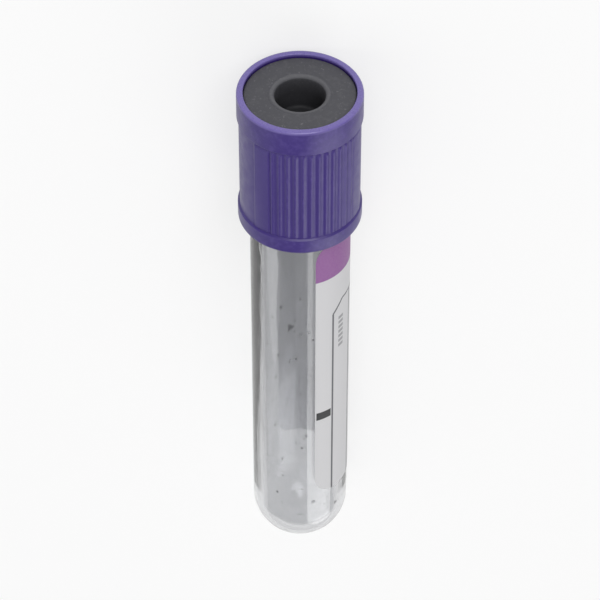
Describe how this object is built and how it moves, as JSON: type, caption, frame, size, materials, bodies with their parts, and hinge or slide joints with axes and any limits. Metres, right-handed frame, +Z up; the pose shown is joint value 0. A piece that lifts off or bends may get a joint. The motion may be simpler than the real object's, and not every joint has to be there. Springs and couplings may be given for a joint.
{
  "type": "blood collection tube",
  "caption": "Clear round-bottomed tube with a half-wrapped label, closed by a rubber stopper in a ribbed plastic cap, lying on its side.",
  "frame": {"origin": "middle of the tube's length and width, on the surface that it lies on", "axes": "+X along the tube towards the cap, +Z up; the tube's own axis rises 1.6 degrees towards the cap"},
  "size_m": [0.0802, 0.016, 0.0165],
  "materials": {
    "clear_pet": "clear, smooth",
    "purple_plastic": "satin, moulded",
    "grey_rubber": "matt",
    "label_paper": "coated paper, printed"
  },
  "bodies": {
    "tube": {"tube_body": "clear_pet", "label": "label_paper"},
    "closure": {"cap": "purple_plastic", "stopper": "grey_rubber"}
  },
  "joints": [
    {"name": "closure_draw", "type": "slide", "parent": "tube", "child": "closure", "axis": [0.9996, 0, 0.028], "range_m": [0, 0.025]}
  ]
}
